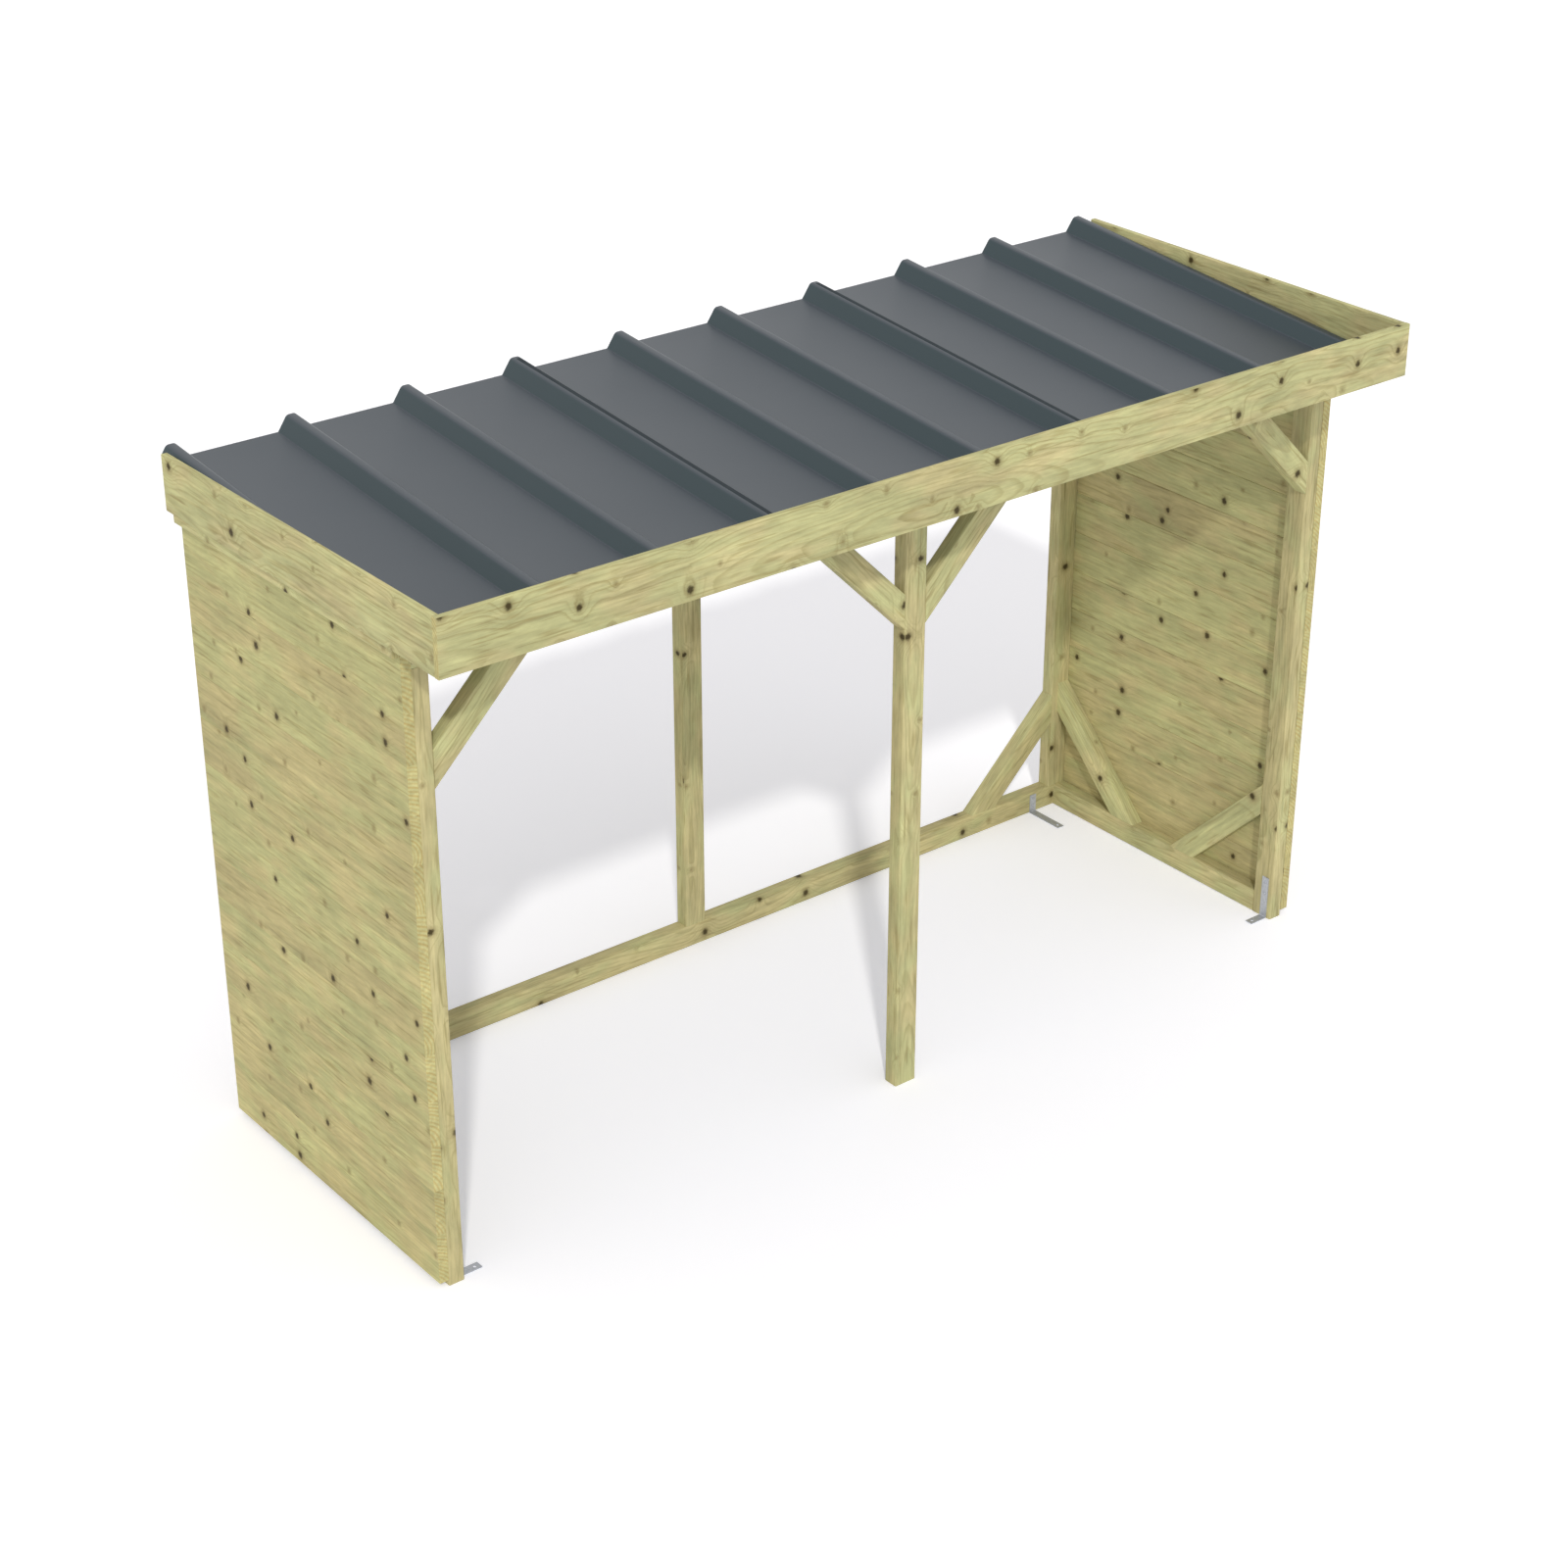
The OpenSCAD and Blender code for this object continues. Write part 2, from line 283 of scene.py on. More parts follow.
KNOT_SCATTER = 0.85
KNOT_SQUEEZE = 1.12
RAGGED_SCALE = 150.0
RAGGED_BY = 0.011
SMALL_FROM = 0.18
LARGE_FROM = 0.66
KNOT_RADIUS = 0.0050
RADIUS_VARIES = 0.0034
LARGE_ADDS = 0.0052
CORE_FADES = (0.40, 1.20)
HALO_FADES = (0.7, 2.4)
HALO_SHARE = 0.70
PUSH_REACH = 3.0

knots = bpy.data.node_groups.new("knots", "ShaderNodeTree")
source, result = group_sockets(
    knots,
    [("Along", FLOAT, 0.0), ("Across", FLOAT, 0.0), ("Spread", FLOAT, 0.2), ("Row", FLOAT, 0.11)],
    [("Dark", FLOAT), ("Brown", FLOAT), ("Push", FLOAT)])
along, across, spread, row = source.outputs[0:4]

# One knot in each cell of a loose grid, and how far each point lies from it, in metres.
cell_u = calc(knots, "DIVIDE", along, spread)
cell_v = calc(knots, "DIVIDE", across, row)
cells = node(knots, "ShaderNodeTexVoronoi", voronoi_dimensions="2D", feature="F1")
cells.inputs["Scale"].default_value = 1.0
cells.inputs["Randomness"].default_value = KNOT_SCATTER
feed(knots, vector_of(knots, cell_u, cell_v), cells.inputs["Vector"])
middle = node(knots, "ShaderNodeSeparateXYZ", in_0=cells.outputs["Position"])
chance = node(knots, "ShaderNodeSeparateColor", in_0=cells.outputs["Color"])
du = times(knots, calc(knots, "SUBTRACT", cell_u, middle.outputs[0]), spread)
dv = times(knots, calc(knots, "SUBTRACT", cell_v, middle.outputs[1]), row)
apart = hypotenuse(knots, times(knots, du, KNOT_SQUEEZE), dv)
ragged = noise(knots, vector_of(knots, along, across), RAGGED_SCALE, 3.0)
apart = swing(knots, ragged, RAGGED_BY, apart)

# Some cells stay bare, some hold a small brown knot and some a large dark one.
large = calc(knots, "GREATER_THAN", chance.outputs[0], LARGE_FROM)
small = calc(knots, "GREATER_THAN", chance.outputs[0], SMALL_FROM)
radius = calc(knots, "MULTIPLY_ADD", chance.outputs[1], RADIUS_VARIES, KNOT_RADIUS)
radius = calc(knots, "MULTIPLY_ADD", large, LARGE_ADDS, radius)
share = calc(knots, "DIVIDE", apart, radius)
core = inverted(knots, step_between(knots, share, *CORE_FADES))
halo = inverted(knots, step_between(knots, share, *HALO_FADES))
brown = calc(knots, "MAXIMUM", times(knots, halo, HALO_SHARE), core)
reach = calc(knots, "DIVIDE", apart, times(knots, radius, PUSH_REACH))
push = calc(knots, "EXPONENT", times(knots, times(knots, reach, reach), -1.0))
feed(knots, times(knots, core, large), result.inputs[0])
feed(knots, times(knots, brown, small), result.inputs[1])
feed(knots, times(knots, times(knots, push, radius), small), result.inputs[2])
print("knots group:", len(knots.nodes), "nodes")

# %% Pine group: sockets and knots
END_FACES = (0.45, 0.85)
EDGE_FACES = 0.6

pine = bpy.data.node_groups.new("pine_grain", "ShaderNodeTree")
source, result = group_sockets(
    pine,
    [("Grain", VECTOR, None), ("Facing", VECTOR, None), ("Tone", FLOAT, 0.5),
     ("Beige", COLOUR, (0.516, 0.452, 0.232, 1)), ("Green", COLOUR, (0.480, 0.468, 0.232, 1)),
     ("Late wood", COLOUR, (0.33, 0.285, 0.12, 1)), ("Knot", COLOUR, (0.032, 0.020, 0.001, 1)),
     ("Cut end", COLOUR, (0.53, 0.49, 0.23, 1)), ("Ring width", FLOAT, 0.0062),
     ("Ring depth", FLOAT, 0.55), ("Pith depth", FLOAT, 0.07), ("Pith aside", FLOAT, 0.0),
     ("Knot spread", FLOAT, 0.2), ("Edge light", FLOAT, 0.0)],
    [("Colour", COLOUR), ("Roughness", FLOAT), ("Height", FLOAT)])
(grain, facing, tone, beige, green, late_wood, knot_colour, cut_end,
 ring_width, ring_depth, pith_depth, pith_aside, knot_spread, edge_light) = source.outputs[0:14]
place = node(pine, "ShaderNodeSeparateXYZ", in_0=grain)
u, v, w = place.outputs
face = node(pine, "ShaderNodeSeparateXYZ", in_0=facing)
is_end = step_between(pine, face.outputs[0], *END_FACES)
is_edge = calc(pine, "GREATER_THAN", face.outputs[1], EDGE_FACES)
is_flat = inverted(pine, is_edge)
not_end = inverted(pine, is_end)

# Knots run in from the wide face or from the edge, never along the timber.
flat_knots = node(pine, "ShaderNodeGroup", node_tree=knots, in_0=u, in_1=v, in_2=knot_spread)
edge_knots = node(pine, "ShaderNodeGroup", node_tree=knots, in_0=u, in_1=w, in_2=knot_spread)


def either_face(index):
    """One output of the knots group, taken from the face that the point lies on."""
    on_flat = times(pine, flat_knots.outputs[index], is_flat)
    on_edge = times(pine, edge_knots.outputs[index], is_edge)
    return times(pine, calc(pine, "ADD", on_flat, on_edge), not_end)


dark_knot, brown_knot, push = [either_face(i) for i in range(3)]
print("pine group so far:", len(pine.nodes), "nodes")

# %% Pine group: growth rings
SECOND_WANDER_AT = 3.0
WANDER_ACROSS = 0.10
WANDER_THROUGH = 0.16
PITH_BY_TONE = 0.12
RIPPLE = 0.0045
PUSHED_BY_KNOT = 1.8


def drawn_out(along_scale, across_scale, detail, roughness=0.5):
    """Soft noise from 0 to 1, coarse along the timber and finer across it; scales are per metre."""
    scaled = vector_of(pine, times(pine, u, along_scale), times(pine, v, across_scale),
                       times(pine, w, across_scale))
    return noise(pine, scaled, 1.0, detail, roughness)


# Rings lie about a pith that wanders below the face, and each knot bends them aside.
slow = noise(pine, vector_of(pine, times(pine, u, 0.9), v, w), 1.6, 2.0)
apart_v = calc(pine, "ADD", v, SECOND_WANDER_AT)
slower = noise(pine, vector_of(pine, times(pine, u, 0.55), apart_v, w), 1.8, 1.0)
aside = swing(pine, tone, PITH_BY_TONE, pith_aside)
wander_v = calc(pine, "ADD", swing(pine, slow, WANDER_ACROSS, v), aside)
wander_w = calc(pine, "ADD", swing(pine, slower, WANDER_THROUGH, w), pith_depth)
ring = hypotenuse(pine, wander_v, wander_w)
ring = swing(pine, drawn_out(5.0, 30.0, 2.0), RIPPLE, ring)
ring = calc(pine, "MULTIPLY_ADD", push, PUSHED_BY_KNOT, ring)
turns = calc(pine, "DIVIDE", ring, ring_width)
part = calc(pine, "FRACT", turns)
year = node(pine, "ShaderNodeTexWhiteNoise", noise_dimensions="1D")
feed(pine, calc(pine, "FLOOR", turns), year.inputs["W"])


def ring_line(begins, peaks, varies, least):
    """A line in each ring, dark at one part of it and of its own strength each year."""
    rises = step_between(pine, part, begins, peaks)
    falls = inverted(pine, step_between(pine, part, peaks, 1.0))
    strength_of_year = calc(pine, "MULTIPLY_ADD", year.outputs["Value"], varies, least)
    return times(pine, times(pine, rises, falls), strength_of_year)


line = times(pine, ring_line(begins=0.45, peaks=0.90, varies=0.9, least=0.1), ring_depth)
end_line = ring_line(begins=0.20, peaks=0.65, varies=0.5, least=0.45)
print("pine group so far:", len(pine.nodes), "nodes")

# %% Pine group: fibres, streaks and colour
END_LINE = (0.44, 0.32, 0.11, 1)
END_SHARE = 0.85
SMUDGE = (0.33, 0.27, 0.11, 1)
SMUDGE_SHARE = 0.60
DASH = (0.30, 0.25, 0.095, 1)
DASH_SHARE = 0.58
BROWN_KNOT = (0.21, 0.155, 0.055, 1)
BROWN_SHARE = 0.62
DARK_SHARE = 0.92
DARKEST_BOARD = 0.96
BOARDS_VARY = 0.08
TONE_GREENS = 0.20
ROUGHNESS = 0.56
ROUGHER_ENDS = 0.1
ROUGHER_FIBRES = 0.18
LINE_RISES = 0.35
FIBRE_RISES = 0.5
KNOT_SINKS = 0.6

# Fibres, streaks and short smudges are all drawn out along the timber; patches are broad.
fibre = drawn_out(9.0, 420.0, 3.0, 0.6)
streak = drawn_out(4.0, 75.0, 3.0, 0.62)
mottle = drawn_out(13.0, 48.0, 4.0, 0.65)
cloud = drawn_out(3.2, 8.0, 2.0)
dash = step_between(pine, drawn_out(7.0, 140.0, 2.0), 0.57, 0.70)
smudge = step_between(pine, drawn_out(9.0, 60.0, 1.0), 0.62, 0.80)
patch = drawn_out(6.0, 14.0, 2.0)
greener = step_between(pine, swing(pine, tone, TONE_GREENS, patch), 0.34, 0.66)

brightness = calc(pine, "MULTIPLY_ADD", tone, BOARDS_VARY, DARKEST_BOARD)
for pattern, amount in ((fibre, 0.28), (streak, 0.56), (mottle, 0.66), (cloud, 0.58)):
    brightness = times(pine, brightness, swing(pine, pattern, amount, 1.0))
# Painted highlight: edge faces, such as a fascia board's top and bottom, are made lighter by the Edge
# light share.
brightness = times(pine, brightness, calc(pine, "MULTIPLY_ADD", is_edge, edge_light, 1.0))
grey = vector_of(pine, brightness, brightness, brightness)

wood = blend_colours(pine, greener, beige, green)
wood = blend_colours(pine, line, wood, late_wood)
end_wood = blend_colours(pine, end_line, cut_end, END_LINE)
wood = blend_colours(pine, times(pine, is_end, END_SHARE), wood, end_wood)
wood = blend_colours(pine, times(pine, times(pine, smudge, not_end), SMUDGE_SHARE), wood, SMUDGE)
wood = blend_colours(pine, times(pine, times(pine, dash, not_end), DASH_SHARE), wood, DASH)
wood = blend_colours(pine, 1.0, wood, grey, "MULTIPLY")
wood = blend_colours(pine, times(pine, brown_knot, BROWN_SHARE), wood, BROWN_KNOT)
wood = blend_colours(pine, times(pine, dark_knot, DARK_SHARE), wood, knot_colour)
feed(pine, wood, result.inputs[0])

roughness = calc(pine, "MULTIPLY_ADD", is_end, ROUGHER_ENDS, ROUGHNESS)
roughness = calc(pine, "MULTIPLY_ADD", fibre, ROUGHER_FIBRES, roughness)
feed(pine, roughness, result.inputs[1])
rise = calc(pine, "MULTIPLY_ADD", line, LINE_RISES, times(pine, fibre, FIBRE_RISES))
rise = calc(pine, "MULTIPLY_ADD", dark_knot, -KNOT_SINKS, rise)
feed(pine, rise, result.inputs[2])
print("pine group:", len(pine.nodes), "nodes")


# %% [markdown]
# ## Three pine finishes
#
# Frame timber, wall boards and fascia boards come from the same yard, but not from the same
# bundle. One group with three sets of values gives a family of finishes that belong together,
# and keeps every knot and ring in one place where it can be corrected once.

# %% Pine materials
def attribute(tree, name, output):
    """Reads a value that the mesh carries."""
    return node(tree, "ShaderNodeAttribute", attribute_name=name).outputs[output]


def bump(tree, height, shader, strength, distance):
    """Lets a height roughen the shader's normal."""
    relief = node(tree, "ShaderNodeBump")
    relief.inputs["Strength"].default_value = strength
    relief.inputs["Distance"].default_value = distance
    feed(tree, height, relief.inputs["Height"])
    feed(tree, relief.outputs[0], shader.inputs["Normal"])


def pine_material(name, **values):
    """A pine finish: the pine group with its own values, feeding one Principled shader."""
    material = bpy.data.materials.new(name)
    material.use_nodes = True
    tree = material.node_tree
    shader = tree.nodes["Principled BSDF"]
    wood = node(tree, "ShaderNodeGroup", node_tree=pine)
    feed(tree, attribute(tree, "grain", "Vector"), wood.inputs["Grain"])
    feed(tree, attribute(tree, "facing", "Vector"), wood.inputs["Facing"])
    feed(tree, attribute(tree, "tone", "Fac"), wood.inputs["Tone"])
    for key, value in values.items():
        wood.inputs[key.replace("_", " ").capitalize()].default_value = value
    feed(tree, wood.outputs["Colour"], shader.inputs["Base Color"])
    feed(tree, wood.outputs["Roughness"], shader.inputs["Roughness"])
    bump(tree, wood.outputs["Height"], shader, strength=0.35, distance=0.0006)
    shader.inputs["Specular IOR Level"].default_value = 0.25
    return material


frame_pine = pine_material("frame_pine", beige=(0.532, 0.466, 0.238, 1), green=(0.492, 0.484, 0.238, 1))
board_pine = pine_material("board_pine", beige=(0.496, 0.427, 0.208, 1), green=(0.458, 0.444, 0.208, 1),
                            ring_depth=0.36, ring_width=0.0098, pith_aside=0.11, pith_depth=0.10)
# The fascia boards get a painted highlight of 12 % on their edge faces.
fascia_pine = pine_material("fascia_pine", ring_width=0.0085, pith_depth=0.06, ring_depth=0.7,
                            knot_spread=0.16, edge_light=0.12)
print("pine finishes:", frame_pine.name, board_pine.name, fascia_pine.name)


# %% [markdown]
# ## Modelling helpers
#
# A joiner starts each timber as a planed bar and then cuts it. These helpers do the same: a cube
# is stretched to the bar's size, its long edges are rounded with the bevel operator, and saw cuts
# are made with bisect, which slices the mesh at a plane and caps the cut.

# %% Helpers
def start_clean():
    """Leaves edit mode and selects nothing, so that the next operator acts on its own piece only."""
    if bpy.context.object and bpy.context.object.mode != "OBJECT":
        bpy.ops.object.mode_set(mode="OBJECT")
    bpy.ops.object.select_all(action="DESELECT")


def select_only(*pieces):
    """Selects some pieces and nothing else, and makes the first of them the active one."""
    start_clean()
    for piece in pieces:
        piece.select_set(True)
    bpy.context.view_layer.objects.active = pieces[0]


def open_mesh(piece, pick="EDGE"):
    """Goes into edit mode on one piece, with nothing selected."""
    select_only(piece)
    bpy.ops.object.mode_set(mode="EDIT")
    bpy.ops.mesh.select_mode(type=pick)
    bpy.ops.mesh.select_all(action="DESELECT")
    return bmesh.from_edit_mesh(piece.data)


def close_mesh(piece):
    """Comes back to object mode."""
    bmesh.update_edit_mesh(piece.data)
    bpy.ops.object.mode_set(mode="OBJECT")


def add_bar(name, low, high):
    """A cube stretched to a bar from low to high; its place goes into its mesh."""
    start_clean()
    bpy.ops.mesh.primitive_cube_add(size=1.0, location=(low + high) / 2)
    bar = bpy.context.object
    bar.name = name
    bar.data.name = name
    bar.scale = high - low
    bpy.ops.object.transform_apply(location=True, rotation=True, scale=True)
    return bar


def round_edges(piece, test, radius, segments=3):
    """Bevels the edges that pass a test of their two ends' places."""
    mesh = open_mesh(piece)
    for edge in mesh.edges:
        a, b = edge.verts[0].co, edge.verts[1].co
        edge.select_set(test(a, b))
    bmesh.update_edit_mesh(piece.data)
    bpy.ops.mesh.bevel(offset=radius, offset_type="OFFSET", segments=segments, profile=0.5, affect="EDGES")
    close_mesh(piece)


def round_long_edges(piece, along, radius, segments=3):
    """Rounds the edges that run along the timber."""
    def runs_along(a, b):
        return (b - a).length > 0.001 and abs((b - a).normalized().dot(along)) > 0.99

    round_edges(piece, runs_along, radius, segments)


def saw(piece, point, outward):
    """Cuts the piece at a plane and drops what lies outward of it."""
    open_mesh(piece)
    bpy.ops.mesh.select_all(action="SELECT")
    bpy.ops.mesh.bisect(plane_co=point, plane_no=outward, use_fill=True, clear_outer=True)
    close_mesh(piece)


X, Y, Z = Vector((1, 0, 0)), Vector((0, 1, 0)), Vector((0, 0, 1))
LONG = 0.5
print("modelling helpers ready; an edge over", LONG, "m counts as long")


# %% [markdown]
# ## Grain coordinates and finishing
#
# A finished piece needs three things that the pine reads: the grain coordinates, which way each
# face points within the timber, and one tone for the whole board. They are stored on the mesh as
# attributes, so any number of timbers can share one material and still all look different.

# %% Finishing helpers
def lay_grain(piece, along, across):
    """Stores grain, facing and tone on a mesh whose fibres run along one direction."""
    mesh = piece.data
    through = along.cross(across)
    corners = [v.co for v in mesh.vertices]
    low = Vector([min(c[i] for c in corners) for i in range(3)])
    high = Vector([max(c[i] for c in corners) for i in range(3)])
    middle = (low + high) / 2
    shift = Vector((dice.uniform(0, 40), dice.uniform(-0.03, 0.03), dice.uniform(-0.02, 0.02)))
    own_tone = dice.random()
    mesh.attributes.new("grain", "FLOAT_VECTOR", "POINT")
    mesh.attributes.new("facing", "FLOAT_VECTOR", "FACE")
    mesh.attributes.new("tone", "FLOAT", "FACE")
    for point, value in zip(mesh.vertices, mesh.attributes["grain"].data):
        off = point.co - middle
        value.vector = Vector((off.dot(along), off.dot(across), off.dot(through))) + shift
    for polygon, turned in zip(mesh.polygons, mesh.attributes["facing"].data):
        normal = polygon.normal
        turned.vector = (abs(normal.dot(along)), abs(normal.dot(across)), abs(normal.dot(through)))
    for shade in mesh.attributes["tone"].data:
        shade.value = own_tone


SMOOTH_UNDER = math.radians(32)


def finish(piece, material, slot, *nodes):
    """Smooths a piece, gives it its finish and lets it stand for its CAD nodes."""
    select_only(piece)
    bpy.ops.object.shade_smooth_by_angle(angle=SMOOTH_UNDER)
    piece.data.materials.clear()
    piece.data.materials.append(material)
    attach(piece, "root")
    if nodes:
        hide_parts(*nodes)
    return piece


print("finishing helpers ready")


# %% [markdown]
# ## Posts, sills and rail
#
# These are plain planed bars. Each is rebuilt over its CAD node's own box, with rounded edges in
# place of the flat chamfers: a planing mill leaves a small radius, and it is what catches a thin
# line of light along every post. The sawn ends stay crisp.

# %% Straight timbers
EDGE_RADIUS = 0.003

uprights = ["left_front_post", "centre_front_post", "right_front_post",
            "left_rear_post", "centre_rear_post", "right_rear_post"]


def straight_timber(name, along, across):
    """A planed bar with rounded edges over a CAD node's box."""
    low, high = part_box(name)
    bar = add_bar(name + "_timber", low, high)
    round_long_edges(bar, along, EDGE_RADIUS)
    lay_grain(bar, along, across)
    return finish(bar, frame_pine, "frame_pine", name)


for name in uprights:
    low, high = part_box(name)
    wide = X if (high - low).x > (high - low).y else Y
    straight_timber(name, Z, wide)
for name in ("left_sill", "right_sill"):
    straight_timber(name, Y, Z)
straight_timber("rear_rail", X, Z)
print("straight timbers:", len(uprights) + 3)


# %% [markdown]
# ## Beams and rafters with planed tops
#
# The roof falls towards the front, so the tops of the two beams and of the side rafters are
# planed to that fall. A bar is made a little too tall and its top is sawn off at the slope. The
# plane is found from the CAD itself: the roof's underside rises from the front to the back edge
# of each piece, and the node's own vertices say by how much.

# %% Beams and rafters
SAW_SPARE = 0.02
SAWN_RADIUS = 0.0024


def top_slope(name):
    """A point on a node's sloping top and the top's outward normal."""
    corners = [v.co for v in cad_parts[name].data.vertices]
    low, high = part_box(name)
    front = max(c.z for c in corners if c.y < low.y + 0.001)
    back = max(c.z for c in corners if c.y > high.y - 0.001)
    rise = Vector((0, high.y - low.y, back - front))
    return Vector((0, low.y, front)), X.cross(rise).normalized()


def sloped_timber(name, along, across):
    """A bar whose top is sawn to the fall of the roof."""
    low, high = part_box(name)
    point, outward = top_slope(name)
    bar = add_bar(name + "_timber", low, high + Z * SAW_SPARE)
    saw(bar, point, outward)

    def long_edge(a, b):
        return abs((b - a).dot(along)) > LONG

    round_edges(bar, long_edge, SAWN_RADIUS)
    lay_grain(bar, along, across)
    return finish(bar, frame_pine, "frame_pine", name)


for name in ("front_beam", "rear_beam"):
    sloped_timber(name, X, Z)
for name in ("left_rafter", "right_rafter"):
    sloped_timber(name, Y, Z)
print("beams and rafters: 4")


# %% [markdown]
# ## Braces
#
# Each brace is a length of the same bar, laid at 45 degrees across a corner and sawn flush with
# the two timbers that it joins. So it is made as a bar that is too long, turned into the corner
# and then cut twice. Rounding its edges before the cuts keeps the sawn faces sharp.

# %% Braces
BRACE_WIDTH = 0.070


def brace(name, turn_axis, corner, out_1, out_2):
    """A sawn 45 degree brace in a node's box; it runs from out_1 to out_2, seen from the corner."""
    low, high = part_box(name)
    size = high - low
    thick_axis = X if turn_axis == "X" else Y
    thickness = abs(size.dot(thick_axis))
    reach = max(size)
    along = (out_2 - out_1).normalized()
    inward = (out_1 + out_2).normalized()
    centre = (low + high) / 2
    corner = centre + corner
    middle = corner + inward * (reach / math.sqrt(2) - BRACE_WIDTH / 2)
    half = Vector((BRACE_WIDTH, thickness, reach * 2.0)) / 2
    bar = add_bar(name + "_timber", -half, half)
    basis = Matrix((inward, along.cross(inward), along)).transposed()
    bar.data.transform(basis.to_4x4())
    bar.data.transform(Matrix.Translation(middle))
    round_long_edges(bar, along, EDGE_RADIUS)
    saw(bar, corner, -out_1)
    saw(bar, corner, -out_2)
    lay_grain(bar, along, inward)
    return finish(bar, frame_pine, "frame_pine", name)


def corner_brace(name, turn_axis, signs):
    """Finds the corner that a brace fills: signs point from the middle of its box to the corner."""
    low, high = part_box(name)
    half = (high - low) / 2
    a, b = (Y, Z) if turn_axis == "X" else (X, Z)
    corner = a * signs[0] * abs(half.dot(a)) + b * signs[1] * abs(half.dot(b))
    brace(name, turn_axis, corner, a * -signs[0], b * -signs[1])


BRACES = {
    "left_front_brace": ("Y", (-1, 1)), "centre_left_brace": ("Y", (1, 1)),
    "centre_right_brace": ("Y", (-1, 1)), "right_front_brace": ("Y", (1, 1)),
    "rear_left_brace": ("Y", (-1, -1)), "rear_right_brace": ("Y", (1, -1)),
    "left_wall_front_brace": ("X", (-1, -1)), "left_wall_rear_brace": ("X", (1, -1)),
    "right_wall_front_brace": ("X", (-1, -1)), "right_wall_rear_brace": ("X", (1, -1)),
}
for name, (turn_axis, signs) in BRACES.items():
    corner_brace(name, turn_axis, signs)
print("braces:", len(BRACES))


# %% [markdown]
# ## Wall boards
#
# Each end wall is thirteen boards, one on another, each covering 129 mm. The lowest and the
# topmost are sawn wider to make up the height. The inner arrises are planed off, so that a
# narrow V runs along every joint on the inside, while the outside closes almost flush. A mesh with
# grooves would share one grain, so every board is a bar of its own instead, bevelled at edges that
# are picked by their place, and the thirteen are then joined.

# %% Wall boards
BOARDS = 13
COVER = 0.129
INNER_V = 0.0018
OUTER_V = 0.0008
SEAT_INSET = 0.0001


def wall_board(name, side, low, high):
    """One board of an end wall; side is -1 on the left wall and 1 on the right one."""
    bar = add_bar(name, low, high)
    inner_x = high.x if side < 0 else low.x
    outer_x = low.x if side < 0 else high.x

    def long_edge_at(x):
        def test(a, b):
            return abs(a.x - x) < 0.0002 and abs(b.x - x) < 0.0002 and abs(a.y - b.y) > LONG
        return test

    round_edges(bar, long_edge_at(inner_x), INNER_V, 1)
    round_edges(bar, long_edge_at(outer_x), OUTER_V, 1)
    mesh = open_mesh(bar, "FACE")
    for polygon in mesh.faces:
        polygon.select_set(abs(polygon.normal.z) > 0.99)
    bmesh.update_edit_mesh(bar.data)
    bpy.ops.mesh.inset(thickness=SEAT_INSET, use_boundary=True)
    close_mesh(bar)
    lay_grain(bar, Y, Z)
    return bar


def end_wall(node_name, side):
    """All the boards of one end wall, joined as one piece."""
    low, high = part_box(node_name)
    end_board = (high.z - low.z - (BOARDS - 2) * COVER) / 2
    joints = [low.z] + [low.z + end_board + i * COVER for i in range(BOARDS - 1)] + [high.z]
    boards = []
    for i in range(BOARDS):
        bottom = Vector((low.x, low.y, joints[i]))
        top = Vector((high.x, high.y, joints[i + 1]))
        boards.append(wall_board(f"{node_name}_{i}", side, bottom, top))
    select_only(*boards)
    bpy.ops.object.join()
    wall = bpy.context.object
    wall.name = node_name.replace("_boards", "_planking")
    return finish(wall, board_pine, "board_pine", node_name)


for node_name, side in (("left_wall_boards", -1), ("right_wall_boards", 1)):
    wall = end_wall(node_name, side)
    print(wall.name, len(wall.data.polygons), "faces")


# %% [markdown]
# ## Fascia boards
#
# Three planed boards hide the edges of the roof. Their long edges have a small radius. The front
# board runs the full length and covers the ends of the side boards, so that its own end grain
# shows as a thin strip at each front corner.

# %% Fascia
FASCIA_RADIUS = 0.0018


def fascia(name, along):
    """A fascia board over its CAD node's box."""
    low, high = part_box(name)
    board = add_bar(name + "_board", low, high)
    round_long_edges(board, along, FASCIA_RADIUS, 2)
    lay_grain(board, along, Z)
    return finish(board, fascia_pine, "fascia_pine", name)


for name, along in (("left_fascia", Y), ("front_fascia", X), ("right_fascia", Y)):
    fascia(name, along)
print("fascia boards: 3")


# %% [markdown]
# ## Steel finishes
#
# The roof sheets are steel with a semi-matt anthracite coat. The coat itself is darker than it
# looks: much of its grey is sky, mirrored at a flat angle. Faces that lie level are painted lighter,
# a painted reflection of the sky, so the steep sides of the ribs look darker by painted shade. How
# level a face lies is stored on the sheet itself, so the painted colour stays put from every side.
# The brackets are galvanised, so their zinc shows a faint crystal pattern.

# %% Steel materials
STEEP_COAT = (0.012, 0.032, 0.040, 1)
LEVEL_COAT_PAINTED_SKY = (0.035, 0.048, 0.062, 1)
PAINTED_SKY_CLOUDS = 0.03
PAINTED_SKY_FROM = 0.62
PAINTED_SKY_FULL = 0.95
ZINC_DARK = (0.42, 0.44, 0.48, 1)
ZINC_LIGHT = (0.54, 0.56, 0.60, 1)
SHADE_STRIP_DARK = (0.018, 0.027, 0.033, 1)
SHADE_STRIP_PALE = (0.036, 0.046, 0.053, 1)


def new_material(name):
    """A material with its node tree, its Principled shader and the object's own coordinates."""
    material = bpy.data.materials.new(name)
    material.use_nodes = True
    tree = material.node_tree
    where = node(tree, "ShaderNodeTexCoord").outputs["Object"]
    return material, tree, tree.nodes["Principled BSDF"], where


